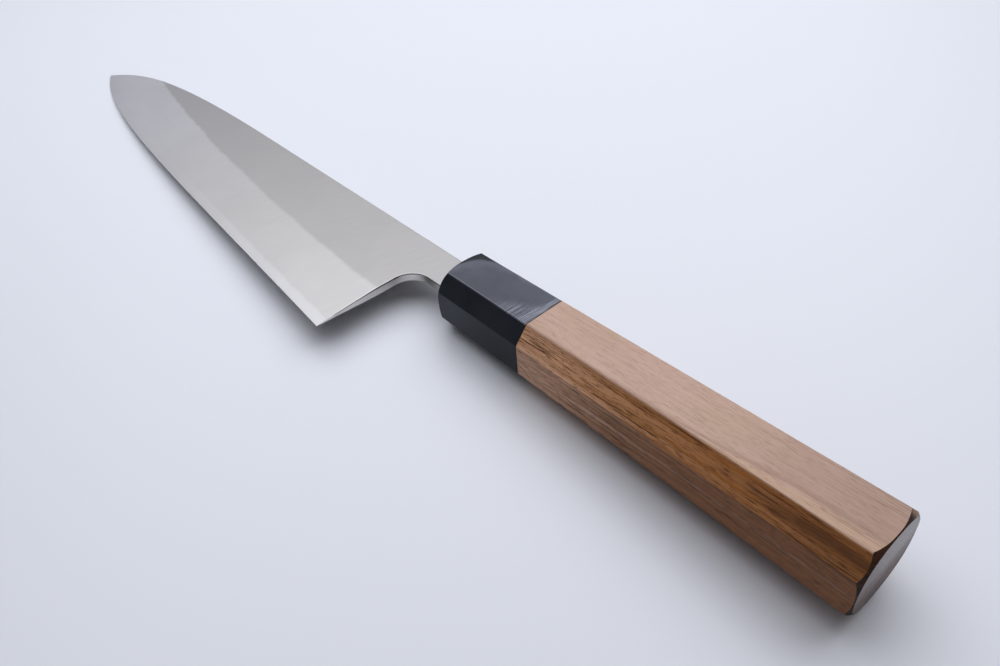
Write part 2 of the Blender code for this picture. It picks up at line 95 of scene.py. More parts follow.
# Handle
HANDLE_LENGTH = 139.9 * MM
FERRULE_LENGTH = 35.8 * MM
JOINT_GAP = 0.05 * MM
FRONT_HEIGHT, FRONT_WIDTH = 11.0 * MM, 10.3 * MM
FRONT_CORNER = (4.35 * MM, 5.3 * MM)
BUTT_HEIGHT, BUTT_WIDTH = 12.55 * MM, 11.5 * MM
BUTT_CORNER = (4.85 * MM, 5.5 * MM)
RIDGE_RADIUS = 0.35 * MM
END_INSET = 0.3 * MM
END_CUT = 3.0 * MM
OVAL_FULLNESS = 0.574            # bevel profile of the ends' oval; half is a circle
JOINT_EASING = 0.15 * MM
MOUTH_WALL = 8.0 * MM
BORE_RADIUS = 7.0 * MM
BORE_DEPTH = 108.0 * MM
MORTISE_CLEARANCE = 0.79 * MM
MORTISE_RADIUS = 1.12 * MM

WELD_DISTANCE = 0.002 * MM
HALVINGS = 50
CURVE_POINTS = 400
CROWDING = 0.13                  # how much closer the stations lie at both ends of the blade
BLADE_FOLD = 32                  # degrees above which a fold stays sharp
HANDLE_FOLD = 25

# The photograph's viewpoint
CAMERA_PLACE = (-217.01 * MM, 102.80 * MM, 174.16 * MM)
CAMERA_TURN = (46.807, 2.455, -132.084)
CAMERA_LENS = 29.27
CAMERA_SENSOR = 36


# Bench tools


def deselect():
    """Let go of everything."""
    bpy.ops.object.select_all(action="DESELECT")


def hold(piece):
    """Select one piece alone."""
    deselect()
    piece.select_set(True)
    bpy.context.view_layer.objects.active = piece


def opened(name):
    """Name the shape that was just added and open it for editing."""
    piece = bpy.context.object
    piece.name = name
    piece.data.name = name
    bpy.ops.object.transform_apply(location=True, rotation=True, scale=True)
    bpy.ops.object.mode_set(mode="EDIT")
    return piece


def closed(piece):
    """Leave edit mode."""
    bpy.ops.object.mode_set(mode="OBJECT")
    return piece


def reopen(piece):
    """Hold a piece and open it for editing again."""
    hold(piece)
    bpy.ops.object.mode_set(mode="EDIT")


def grow(tall, wide, centre=(0, 0, 0)):
    """Scale what is picked across the knife's axis."""
    bpy.ops.transform.resize(value=(1, tall, wide), center_override=centre)


def weld(distance=WELD_DISTANCE):
    """Join points that lie together."""
    bpy.ops.mesh.select_all(action="SELECT")
    bpy.ops.mesh.remove_doubles(threshold=distance)


def face_outwards():
    """Turn every face outwards."""
    bpy.ops.mesh.select_all(action="SELECT")
    bpy.ops.mesh.normals_make_consistent(inside=False)


def pick_points(piece, indices):
    """Select points by number."""
    bm = bmesh.from_edit_mesh(piece.data)
    bm.verts.ensure_lookup_table()
    for vert in bm.verts:
        vert.select = False
    for index in indices:
        bm.verts[index].select = True
    bm.select_flush_mode()
    bmesh.update_edit_mesh(piece.data, loop_triangles=False, destructive=False)


def pick(piece, kind, wanted):
    """Select the points, edges or faces that a test wants."""
    bpy.ops.mesh.select_mode(type=kind)
    bpy.ops.mesh.select_all(action="DESELECT")
    bm = bmesh.from_edit_mesh(piece.data)
    parts = {"VERT": bm.verts, "EDGE": bm.edges, "FACE": bm.faces}[kind]
    for part in parts:
        part.select_set(wanted(part))
    bm.select_flush_mode()
    bmesh.update_edit_mesh(piece.data, loop_triangles=False, destructive=False)


def middle(edge):
    """The middle of an edge."""
    return (edge.verts[0].co + edge.verts[1].co) / 2


def runs_along(edge):
    """Whether an edge runs along the knife's axis."""
    way = edge.verts[1].co - edge.verts[0].co
    return abs(way.x) > 0.9 * way.length


def apply_modifier(piece, kind, **settings):
    """Add a modifier, set it and apply it."""
    hold(piece)
    modifier = piece.modifiers.new(kind.title(), kind)
    for name, value in settings.items():
        setattr(modifier, name, value)
    bpy.ops.object.modifier_apply(modifier=modifier.name)


def cut(piece, cutter, operation):
    """Cut a piece with a cutter, or keep what lies inside it."""
    apply_modifier(piece, "BOOLEAN", object=cutter, operation=operation, solver="EXACT")


def discard(*shapes):
    """Remove cutters that have done their work."""
    for shape in shapes:
        bpy.data.objects.remove(shape, do_unlink=True)


def shade(piece, fold):
    """Smooth curved faces, keep folds sharper than the given angle, and let flats shade flat."""
    hold(piece)
    bpy.ops.object.shade_smooth_by_angle(angle=math.radians(fold))
    apply_modifier(piece, "WEIGHTED_NORMAL", keep_sharp=True, weight=60)


def lay_down(piece):
    """Turn a finished piece from the knife's axes to how it lies on the table."""
    hold(piece)
    piece.rotation_euler = (0, LYING_TILT, 0)
    piece.location = LYING_PLACE
    bpy.ops.object.transform_apply(location=True, rotation=True, scale=True)


def from_table(vector, turn_only=False):
    """A place, or a direction, turned back from the table to the knife's axes."""
    if not turn_only:
        vector = vector - Vector(LYING_PLACE)
    return Matrix.Rotation(-LYING_TILT, 3, "Y") @ vector


# Blade outlines


def height_curve(start, start_pull, end_pull, end):
    """y as a function of x along one Bezier curve."""
    knots = [Vector((x, y, 0)) for x, y in (start, start_pull, end_pull, end)]
    points = interpolate_bezier(*knots, CURVE_POINTS)
    xs = [point.x for point in points]
    ys = [point.y for point in points]
    return lambda x: float(np.interp(x, xs, ys))


def pulled(point, reach, slope):
    """A Bezier handle at a distance from a point."""
    return (point[0] + reach * math.cos(slope), point[1] + reach * math.sin(slope))


TIP = (TIP_X, TIP_DROP)
HEEL = (HEEL_X, HEEL_DROP)
BEND = (BEND_X, SPINE_AT_BEND)
BACK_SLOPE = math.atan2(SPINE_AT_BEND - SPINE_AT_NECK, BEND_X)
SHINOGI_START = (HEEL_X, SHINOGI_AT_HEEL)
SHINOGI_END = (SHINOGI_END_X, SHINOGI_AT_END)

nose_curve = height_curve(
    BEND,
    pulled(BEND, SPINE_PULL, BACK_SLOPE),
    pulled(TIP, -NOSE_PULL, NOSE_SLOPE),
    TIP,
)
edge_y = height_curve(
    HEEL,
    pulled(HEEL, EDGE_PULL, -EDGE_SLOPE),
    pulled(TIP, -BELLY_PULL, -BELLY_SLOPE),
    TIP,
)
shinogi_curve = height_curve(
    SHINOGI_START,
    pulled(SHINOGI_START, SHINOGI_PULL_HEEL, -SHINOGI_SLOPE_HEEL),
    pulled(SHINOGI_END, -SHINOGI_PULL_END, -SHINOGI_SLOPE_END),
    SHINOGI_END,
)


def spine_y(x):
    """The back of the blade."""
    if x < BEND_X:
        return SPINE_AT_NECK + x * math.tan(BACK_SLOPE)
    return nose_curve(x)


def shinogi_y(x):
    """The line where the flat turns into the bevel."""
    past = max(0.0, x - SHINOGI_END_X)
    return shinogi_curve(x) - past * math.tan(SHINOGI_SLOPE_END)


def flat_half(x):
    """Half the thickness across the flats."""
    return FLAT_HALF_HEEL + (FLAT_HALF_TIP - FLAT_HALF_HEEL) * x / TIP_X


def core_half(x):
    """Half the thickness of the core steel."""
    return CORE_HALF_HEEL + (CORE_HALF_TIP - CORE_HALF_HEEL) * x / TIP_X


def tang_half(x):
    """Half the thickness of the tang, and of the neck where it leaves the ferrule."""
    if x > -NECK_INSERT - NECK_SHOULDER:
        return flat_half(x)
    back = (-NECK_INSERT - x) / (TANG_LENGTH - NECK_INSERT)
    return TANG_HALF_THICKNESS + (TANG_END_HALF_THICKNESS - TANG_HALF_THICKNESS) * back


def bevel_half(x, y):
    """Half the thickness of the blade at a point of its outline."""
    share = (edge_y(x) - y) / (edge_y(x) - shinogi_y(x))
    return flat_half(x) * min(1.0, max(0.0, share)) ** BEVEL_ROUNDNESS


def clad_y(x):
    """The line where the cladding runs out on the bevel and the core shows."""
    share = (core_half(x) / flat_half(x)) ** (1.0 / BEVEL_ROUNDNESS)
    return edge_y(x) - share * (edge_y(x) - shinogi_y(x))


def meets_spine(line):
    """Where a line along the blade runs out at the spine."""
    near, far = HEEL_X, TIP_X
    for _ in range(HALVINGS):
        between = (near + far) / 2
        if line(between) > spine_y(between):
            near = between
        else:
            far = between
    return near


FLAT_END = meets_spine(shinogi_y)
CLAD_END = meets_spine(clad_y)
ARC_TOP = NECK_DROP + CHOIL_RADIUS


def split_y(x, low):
    """A row level with the top of the choil's curve at the heel, kept in proportion along the blade."""
    share = (ARC_TOP - spine_y(HEEL_X)) / (low(HEEL_X) - spine_y(HEEL_X))
    return spine_y(x) + share * (low(x) - spine_y(x))


def stations(start, end, count):
    """Places along the blade, closer together at both ends."""
    places = []
    for i in range(count + 1):
        along = i / count
        places.append(start + (end - start) * (along - CROWDING * math.sin(2 * math.pi * along)))
    return places


# Blade


def stretched_sheet(name, places, rows, sides):
    """A grid whose columns are stretched between an upper and a lower curve.

    A row is (share of the way down, share of the rise). sides(x) gives (y, z) above and (y, z) below.
    """
    columns = len(places)
    deselect()
    bpy.ops.mesh.primitive_grid_add(x_subdivisions=columns - 1, y_subdivisions=len(rows) - 1, size=1)
    sheet = opened(name)
    for j, (down, rise) in enumerate(rows):
        pick_points(sheet, range(j * columns, (j + 1) * columns))
        bpy.ops.transform.translate(value=(0, down - (j / (len(rows) - 1) - 0.5), rise))
    for i, x in enumerate(places):
        (top_y, top_z), (low_y, low_z) = sides(x)
        pick_points(sheet, range(i, columns * len(rows), columns))
        grow(low_y - top_y, top_z - low_z)
        bpy.ops.transform.translate(value=(x - (i / (columns - 1) - 0.5), top_y, low_z))
    return closed(sheet)


def welded(name, sheets):
    """Join sheets along the edges that they share."""
    deselect()
    for sheet in sheets:
        sheet.select_set(True)
    bpy.context.view_layer.objects.active = sheets[0]
    bpy.ops.object.join()
    whole = opened(name)
    weld()
    return closed(whole)


NECK_PLACES = [-TANG_LENGTH, -60 * MM, -30 * MM, -NECK_INSERT - NECK_SHOULDER]
NECK_PLACES += [-NECK_INSERT, -2 * MM, 1 * MM, 4 * MM, 7 * MM, 10 * MM, HEEL_X - CHOIL_RADIUS]
NECK_PLACES += [HEEL_X - CHOIL_RADIUS * (1 - math.sin(math.radians(angle))) for angle in range(6, 90, 6)]
HEEL_PLACES = [HEEL_X, HEEL_X + 1.0 * MM]
FLAT_PLACES = HEEL_PLACES + stations(HEEL_X + 2.4 * MM, FLAT_END, 60)
NOSE_PLACES = stations(FLAT_END, CLAD_END, 14)[:-2] + [CLAD_END]

PLAIN_ROWS = [(share, 0) for share in (0, 0.05, 0.2, 0.5, 0.8, 0.95, 1)]
FLAT_ROWS = [(share, 0) for share in (0, 0.35, 0.7, 0.94, 1)]


def neck_sides(x):
    """Upper and lower side of the neck and tang, round the choil's curve to the heel."""
    if x <= -NECK_INSERT - NECK_SHOULDER:
        back = (x + NECK_INSERT + NECK_SHOULDER) / (NECK_INSERT + NECK_SHOULDER - TANG_LENGTH)
        half = TANG_HALF_HEIGHT + (TANG_END_HALF_HEIGHT - TANG_HALF_HEIGHT) * back
        return -half, half
    centre = HEEL_X - CHOIL_RADIUS
    if x <= centre:
        return spine_y(x), NECK_DROP
    return spine_y(x), ARC_TOP - math.sqrt(max(0.0, CHOIL_RADIUS**2 - (x - centre) ** 2))


def make_cladding():
    """The left cladding: a flat, a slightly full bevel and a feather edge, closed along the weld."""

    def upper(x):
        if x < HEEL_X:
            top, low = neck_sides(x)
            return (top, tang_half(x)), (low, tang_half(x))
        return (spine_y(x), flat_half(x)), (split_y(x, shinogi_y), flat_half(x))

    def middle_part(x):
        return (split_y(x, shinogi_y), flat_half(x)), (shinogi_y(x), flat_half(x))

    def lower(x):
        top = max(shinogi_y(x), spine_y(x))
        return (top, bevel_half(x, top)), (max(clad_y(x), top), core_half(x))

    bare = core_half(HEEL_X) / flat_half(HEEL_X)
    bare_share = bare ** (1.0 / BEVEL_ROUNDNESS)
    bevel_rows = []
    for share in (0, 0.025, 0.1, 0.2, 0.32, 0.44, 0.56, 0.68, 0.8, 0.9, 1):
        rise = (1 - share * (1 - bare_share)) ** BEVEL_ROUNDNESS
        bevel_rows.append((share, (rise - bare) / (1 - bare)))
    sheets = [
        stretched_sheet("upper_flat", NECK_PLACES + FLAT_PLACES, PLAIN_ROWS, upper),
        stretched_sheet("lower_flat", FLAT_PLACES, FLAT_ROWS, middle_part),
        stretched_sheet("bevel", FLAT_PLACES + NOSE_PLACES[1:], bevel_rows, lower),
    ]
    cladding = welded("soft_steel_left", sheets)

    reopen(cladding)

    def on_outline(edge):
        at = middle(edge)
        below = at.y > shinogi_y(at.x) and at.y > spine_y(at.x) + 0.1 * MM
        on_feather = at.x > HEEL_X + WELD_DISTANCE and below
        return edge.is_boundary and at.x > -TANG_LENGTH + WELD_DISTANCE and not on_feather

    pick(cladding, "EDGE", on_outline)
    bpy.ops.mesh.mark_seam()
    bpy.ops.mesh.select_all(action="SELECT")
    bpy.ops.mesh.extrude_region_move(TRANSFORM_OT_translate={"value": (0, 0, 0)})
    bpy.ops.mesh.mark_seam(clear=True)
    grow(1, 0)
    taper = (CORE_HALF_TIP - CORE_HALF_HEEL) / TIP_X
    bpy.ops.transform.rotate(value=math.atan(taper), orient_axis="Y", center_override=(0, 0, 0))
    bpy.ops.transform.translate(value=(0, 0, CORE_HALF_HEEL))
    weld()
    face_outwards()

    def on_clear_flat(face):
        at = face.calc_center_median()
        above = at.x < HEEL_X or at.y < split_y(at.x, shinogi_y)
        return face.normal.z > 0.99 and at.x > -NECK_INSERT and above

    pick(cladding, "FACE", on_clear_flat)
    bpy.ops.mesh.dissolve_faces()
    closed(cladding)
    round_rim(cladding)
    return cladding


def round_rim(cladding):
    """Round the rim of the spine, neck, choil and heel, less where the steel gets thin."""
    mesh = cladding.data
    marks = mesh.attributes.new("bevel_weight_edge", "FLOAT", "EDGE")
    for edge, mark in zip(mesh.edges, marks.data):
        at = (mesh.vertices[edge.vertices[0]].co + mesh.vertices[edge.vertices[1]].co) / 2
        if edge.use_seam and at.x > -NECK_INSERT:
            wall = at.z - core_half(at.x)
            clear = min(abs(FLAT_END - at.x), CLAD_END - 1 * MM - at.x) / 10
            mark.value = max(0.0, min(wall / (FLAT_HALF_HEEL - CORE_HALF_HEEL), clear / RIM_ROUNDING, 1.0))
    apply_modifier(
        cladding, "BEVEL", limit_method="WEIGHT", width=RIM_ROUNDING, segments=4, use_clamp_overlap=False
    )
    cladding.data.attributes.remove(cladding.data.attributes["bevel_weight_edge"])
    for edge in cladding.data.edges:
        edge.use_seam = False


def make_core():
    """The hard core, bare from the clad line down to the cutting edge."""

    def upper(x):
        if x < HEEL_X:
            top, low = neck_sides(x)
            return (top, core_half(x)), (low, core_half(x))
        return (spine_y(x), core_half(x)), (split_y(x, clad_y), core_half(x))

    def lower(x):
        return (split_y(x, clad_y), core_half(x)), (clad_y(x), core_half(x))

    def bare(x):
        top = max(clad_y(x), spine_y(x))
        return (top, bevel_half(x, top)), (edge_y(x), 0)

    rows = []
    for share in (0, 0.12, 0.28, 0.46, 0.64, 0.8, APEX_SHARE):
        left = 1 - share / APEX_SHARE
        rows.append((share, APEX_RISE + (1 - APEX_RISE) * left**BEVEL_ROUNDNESS))
    rows.append((1, 0))
    covered = HEEL_PLACES + stations(HEEL_X + 2.4 * MM, CLAD_END, 74)
    sheets = [
        stretched_sheet("upper_core", NECK_PLACES + covered, PLAIN_ROWS, upper),
        stretched_sheet("lower_core", covered, FLAT_ROWS, lower),
        stretched_sheet("bare_core", covered + stations(CLAD_END, TIP_X, 8)[1:], rows, bare),
    ]
    core = welded("core_steel", sheets)
    reopen(core)
    pick(core, "EDGE", lambda edge: edge.is_boundary)
    bpy.ops.mesh.extrude_edges_move(TRANSFORM_OT_translate={"value": (0, 0, 0)})
    grow(1, 0)
    weld()
    closed(core)
    apply_modifier(core, "MIRROR", use_axis=(False, False, True), merge_threshold=WELD_DISTANCE)
    reopen(core)
    face_outwards()
    return closed(core)


def steel_slot(face):
    """The wide sides, or the narrow faces of the spine, neck and choil."""
    return int(abs(from_table(face.normal, turn_only=True).z) < 0.8)


def make_blade():
    """Core and both claddings."""
    core = make_core()
    left = make_cladding()
    hold(left)
    bpy.ops.object.duplicate()
    right = bpy.context.object
    right.name = "soft_steel_right"
    right.data.name = right.name
    bpy.ops.object.mode_set(mode="EDIT")
    bpy.ops.mesh.select_all(action="SELECT")
    grow(1, -1)
    face_outwards()
    closed(right)
    measure(core, "below_weld", lambda point: point.y - clad_y(point.x))
    for cladding in (left, right):
        measure(cladding, "below_shinogi", lambda point: point.y - shinogi_y(point.x))
    for piece in (core, left, right):
        shade(piece, BLADE_FOLD)
        lay_down(piece)
    return core, left, right


# Handle


def section_at(x):
    """Half height, half width and corner cuts of the octagon at a point of the handle."""
    back = -x / HANDLE_LENGTH
    front = (FRONT_HEIGHT, FRONT_WIDTH, *FRONT_CORNER)
    butt = (BUTT_HEIGHT, BUTT_WIDTH, *BUTT_CORNER)
    return [size + (butt_size - size) * back for size, butt_size in zip(front, butt)]


def octagon_stock(name, front, back):
    """A squared block with its corners planed off, tapered from one end to the other."""
    height, width, corner_y, corner_z = section_at(front)
    end_height, end_width, end_corner_y, end_corner_z = section_at(back)
    deselect()
    bpy.ops.mesh.primitive_cube_add(size=1, location=((front + back) / 2, 0, 0))
    bpy.context.object.scale = (front - back, 2 * height, 2 * width)
    stock = opened(name)
    pick(stock, "EDGE", runs_along)
    bpy.ops.mesh.bevel(offset=corner_z, segments=1, affect="EDGES")

    def on_wide_side(vert):
        return abs(abs(vert.co.z) - width) < WELD_DISTANCE

    pick(stock, "VERT", on_wide_side)
    grow((height - corner_y) / (height - corner_z), 1)
    growths = {
        False: (end_height / height, (end_width - end_corner_z) / (width - corner_z)),
        True: ((end_height - end_corner_y) / (height - corner_y), end_width / width),
    }
    for wide, (tall_growth, wide_growth) in growths.items():

        def at_end(vert, wide=wide):
            return vert.co.x < (front + back) / 2 and on_wide_side(vert) == wide

        pick(stock, "VERT", at_end)
        grow(tall_growth, wide_growth, (back, 0, 0))
    pick(stock, "EDGE", runs_along)
    bpy.ops.mesh.bevel(offset=RIDGE_RADIUS * math.tan(math.pi / 8), segments=3, affect="EDGES")
    return closed(stock)


def turned_envelope():
    """The oval that both ends of the handle are turned to, with a chamfer at each end."""
    deselect()
    reach = HANDLE_LENGTH / 2 - END_CUT
    bpy.ops.mesh.primitive_cube_add(size=2)
    bpy.context.object.scale = (reach, 1, 1)
    envelope = opened("turned_envelope")
    pick(envelope, "EDGE", runs_along)
    bpy.ops.mesh.bevel(
        offset_type="PERCENT", offset_pct=50, segments=32, profile=OVAL_FULLNESS, affect="EDGES"
    )
    weld(0.1 * MM)
    ends = (
        (1, FRONT_HEIGHT - END_INSET, FRONT_WIDTH - END_INSET),
        (-1, BUTT_HEIGHT - END_INSET, BUTT_WIDTH - END_INSET),
    )
    for way, height, width in ends:
        pick(envelope, "FACE", lambda face, way=way: face.normal.x * way > 0.9)
        grow(height + END_CUT, width + END_CUT)
        bpy.ops.mesh.extrude_region_move(TRANSFORM_OT_translate={"value": (way * END_CUT, 0, 0)})
        grow(height / (height + END_CUT), width / (width + END_CUT))
    bpy.ops.mesh.select_all(action="SELECT")
    bpy.ops.transform.translate(value=(-HANDLE_LENGTH / 2, 0, 0))
    face_outwards()
    return closed(envelope)


def mortise_cutter():
    """The slot that the neck goes through."""
    half = FLAT_HALF_HEEL + MORTISE_CLEARANCE
    top = SPINE_AT_NECK - MORTISE_CLEARANCE
    low = NECK_DROP + MORTISE_CLEARANCE
    deselect()
    bpy.ops.mesh.primitive_cube_add(size=1, location=(-3 * MM, (top + low) / 2, 0))
    bpy.context.object.scale = (12 * MM, low - top, 2 * half)
    cutter = opened("mortise")
    pick(cutter, "EDGE", runs_along)
    bpy.ops.mesh.bevel(offset=MORTISE_RADIUS, segments=5, affect="EDGES")
    return closed(cutter)


def bore_cutter():
    """The drilled hole for the dowel, with the drill's point."""
    deselect()
    length = BORE_DEPTH - MOUTH_WALL
    bpy.ops.mesh.primitive_cylinder_add(
        vertices=64,
        radius=BORE_RADIUS,
        depth=length,
        location=(-(BORE_DEPTH + MOUTH_WALL) / 2, 0, 0),
        rotation=(0, math.pi / 2, 0),
    )
    cutter = opened("bore")
    pick(cutter, "FACE", lambda face: face.normal.x < -0.9)
    bpy.ops.mesh.extrude_region_move(TRANSFORM_OT_translate={"value": (-0.6 * BORE_RADIUS, 0, 0)})
    bpy.ops.mesh.merge(type="CENTER")
    face_outwards()
    return closed(cutter)


def ease_joint(piece, joint):
    """Break the edge all round a joint."""
    reopen(piece)

    def on_rim(edge):
        near = all(abs(vert.co.x - joint) < WELD_DISTANCE for vert in edge.verts)
        return near and middle(edge).yz.length > BORE_RADIUS + 1 * MM

    pick(piece, "EDGE", on_rim)
    bpy.ops.mesh.bevel(offset=JOINT_EASING, segments=2, affect="EDGES")
    return closed(piece)


def wood_slot(face):
    """Long grain on the sides, end grain on the butt face, and the burnished chamfer between them."""
    at, facing = from_table(face.center), from_table(face.normal, turn_only=True)
    if at.x > -HANDLE_LENGTH + END_CUT or facing.x > -0.3:
        return 0
    return 1 if facing.x < -0.9 else 2


def make_handle():
    """Ferrule and handle body, planed, turned oval at the ends, bored and mortised."""
    ferrule = octagon_stock("horn_ferrule", 2 * MM, -FERRULE_LENGTH)
    body = octagon_stock("walnut_body", -FERRULE_LENGTH - JOINT_GAP, -HANDLE_LENGTH - 2 * MM)
    envelope = turned_envelope()
    mortise = mortise_cutter()
    bore = bore_cutter()
    for piece in (ferrule, body):
        cut(piece, envelope, "INTERSECT")
        cut(piece, bore, "DIFFERENCE")
    cut(ferrule, mortise, "DIFFERENCE")
    discard(envelope, mortise, bore)
    ease_joint(ferrule, -FERRULE_LENGTH)
    ease_joint(body, -FERRULE_LENGTH - JOINT_GAP)
    for piece in (ferrule, body):
        shade(piece, HANDLE_FOLD)
        lay_down(piece)
    return ferrule, body


# Materials


class Nodes:
    """Adds nodes to a material's tree or to a group's. Inputs that are sockets are linked, others are set."""

    def __init__(self, tree):
        self.tree = tree

    def node(self, kind, inputs=None, **settings):
        made = self.tree.nodes.new("ShaderNode" + kind)
        for name, value in settings.items():
            setattr(made, name, value)
        for key, value in (inputs or {}).items():
            self.feed(made.inputs[key], value)
        return made

    def feed(self, socket, value):
        if isinstance(value, bpy.types.NodeSocket):
            self.tree.links.new(value, socket)
        elif isinstance(value, tuple) and len(value) == 3 and socket.type == "RGBA":
            socket.default_value = (*value, 1)
        else:
            socket.default_value = value

    def noise(self, vector, scale=1.0, detail=2.0, roughness=0.5, distortion=0.0):
        inputs = {
            "Vector": vector,
            "Scale": scale,
            "Detail": detail,
            "Roughness": roughness,
            "Distortion": distortion,
        }
        return self.node("TexNoise", inputs).outputs["Fac"]

    def stretched(self, vector, scale):
        """Coordinates scaled along each axis."""
        return self.node("Mapping", {"Vector": vector, "Scale": scale}).outputs[0]

    def turned(self, vector, degrees):
        """Coordinates turned about z."""
        rotation = (0, 0, math.radians(degrees))
        return self.node("Mapping", {"Vector": vector, "Rotation": rotation}).outputs[0]

    def math(self, operation, first, second=0.0):
        return self.node("Math", {0: first, 1: second}, operation=operation).outputs[0]

    def product(self, first, *others):
        for other in others:
            first = self.math("MULTIPLY", first, other)
        return first

    def ramp(self, value, low, high, to_low=0.0, to_high=1.0):
        """A soft step between two levels."""
        inputs = {"Value": value, "From Min": low, "From Max": high, "To Min": to_low, "To Max": to_high}
        return self.node("MapRange", inputs, interpolation_type="SMOOTHSTEP").outputs[0]

    def mix(self, share, first, second):
        made = self.node("Mix", data_type="RGBA")
        for index, value in ((0, share), (6, first), (7, second)):
            self.feed(made.inputs[index], value)
        return made.outputs[2]

    def blend(self, share, first, second):
        """Between two levels."""
        return self.node("Mix", {0: share, 2: first, 3: second}, data_type="FLOAT").outputs[0]

    def bands(self, value, stops):
        """Colours in layers, each (place, colour)."""
        made = self.node("ValToRGB", {"Fac": value})
        elements = made.color_ramp.elements
        while len(elements) < len(stops):
            elements.new(0.5)
        for element, (place, color) in zip(elements, stops):
            element.position = place
            element.color = (*color, 1)
        return made.outputs[0]

    def bump(self, height, strength, distance):
        inputs = {"Height": height, "Strength": strength, "Distance": distance}
        return self.node("Bump", inputs).outputs[0]

    def split(self, vector):
        return self.node("SeparateXYZ", {0: vector}).outputs


def label(name):
    """A socket's label for a name in the code."""
    return name.replace("_", " ").capitalize()


class Effect(Nodes):
    """A node group that several materials share. A vector and levels go in, levels or colours come out."""

    def __init__(self, name, outputs, kind="Float", **levels):
        super().__init__(bpy.data.node_groups.new(name, "ShaderNodeTree"))
        sockets = self.tree.interface
        sockets.new_socket("Vector", in_out="INPUT", socket_type="NodeSocketVector")
        for level, value in levels.items():
            made = sockets.new_socket(label(level), in_out="INPUT", socket_type="NodeSocketFloat")
            made.default_value = value
        for output in outputs:
            sockets.new_socket(label(output), in_out="OUTPUT", socket_type="NodeSocket" + kind)
        self.into = self.tree.nodes.new("NodeGroupInput").outputs
        self.out = self.tree.nodes.new("NodeGroupOutput").inputs

    def give_out(self, **values):
        for name, value in values.items():
            self.feed(self.out[label(name)], value)


class Finish(Nodes):
    """One material."""

    def __init__(self, name):
        self.material = bpy.data.materials.new(name)
        self.material.use_nodes = True
        super().__init__(self.material.node_tree)
        self.shader = self.tree.nodes["Principled BSDF"]

    def set(self, **values):
        sockets = {socket.name.lower().replace(" ", "_"): socket for socket in self.shader.inputs}
        for name, value in values.items():
            self.feed(sockets[name], value)

    def effect(self, effect, **inputs):
        """Place a shared effect with this material's own values."""
        made = self.node("Group", node_tree=effect.tree)
        for name, value in inputs.items():
            self.feed(made.inputs[label(name)], value)
        return made.outputs

    def knife_coordinates(self):
        """Object coordinates turned back to the knife's own axes."""
        place = self.node("TexCoord").outputs["Object"]
        cos, sin = math.cos(LYING_TILT), math.sin(LYING_TILT)
        x, y, z = LYING_PLACE
        back = (-(x * cos - z * sin), -y, -(z * cos + x * sin))
        turned = self.node("Mapping", {"Vector": place, "Location": back, "Rotation": (0, -LYING_TILT, 0)})
        return turned.outputs[0]

    def marked(self, name):
        """A length that was measured on the piece's points."""
        return self.node("Attribute", attribute_name=name, attribute_type="GEOMETRY").outputs["Fac"]


def hairlines_effect():
    """Fine parallel lines left by grinding or sanding."""
    effect = Effect("hairlines", ["mask"], density=1.0, low=0.3, high=0.7)
    fine = effect.noise(effect.into["Vector"], effect.into["Density"], 3.0, 0.65)
    effect.give_out(mask=effect.ramp(fine, effect.into["Low"], effect.into["High"]))
    return effect


def cloud_effect():
    """A soft uneven haze, as on a hand polished surface."""
    effect = Effect("cloudy_polish", ["level"], density=60.0, least=0.9, most=1.1)
    cloud = effect.noise(effect.into["Vector"], effect.into["Density"], 3.0, 0.55, 0.3)
    effect.give_out(level=effect.ramp(cloud, 0.3, 0.7, effect.into["Least"], effect.into["Most"]))
    return effect


def wood_effect():
    """Fibres and pores along a piece of wood."""
    effect = Effect("wood_fibre", ["fibre", "pores"], pore_level=0.62)
    vector = effect.into["Vector"]
    fibre = effect.noise(effect.stretched(vector, (45, 1500, 1500)), 1.0, 3.0, 0.6)
    dashes = effect.noise(effect.stretched(vector, (330, 5200, 5200)), 1.0, 1.5, 0.5)
    level = effect.into["Pore level"]
    effect.give_out(fibre=fibre, pores=effect.ramp(dashes, level, effect.math("ADD", level, 0.07)))
    return effect


def facets_effect():
    """How far a point lies below the handle's left side, inside its wide side, and from the upper ridge."""
    effect = Effect("handle_facets", ["depth", "inside", "upper_ridge"])
    place = effect.split(effect.into["Vector"])
    back = effect.product(place["X"], -1 / HANDLE_LENGTH)

    def tapered(front, butt):
        made = effect.math("MULTIPLY_ADD", back, butt - front)
        made.node.inputs[2].default_value = front
        return made

    width = tapered(FRONT_WIDTH, BUTT_WIDTH)
    wide_half = tapered(FRONT_HEIGHT - FRONT_CORNER[0], BUTT_HEIGHT - BUTT_CORNER[0])
    inside = effect.math("SUBTRACT", width, effect.math("ABSOLUTE", place["Z"]))
    across = effect.math("SUBTRACT", effect.math("ABSOLUTE", place["Y"]), wide_half)
    squares = [effect.math("POWER", length, 2.0) for length in (across, inside)]
    effect.give_out(
        depth=effect.math("SUBTRACT", width, place["Z"]),
        inside=inside,
        upper_ridge=effect.math("SQRT", effect.math("ADD", *squares)),
    )
    return effect


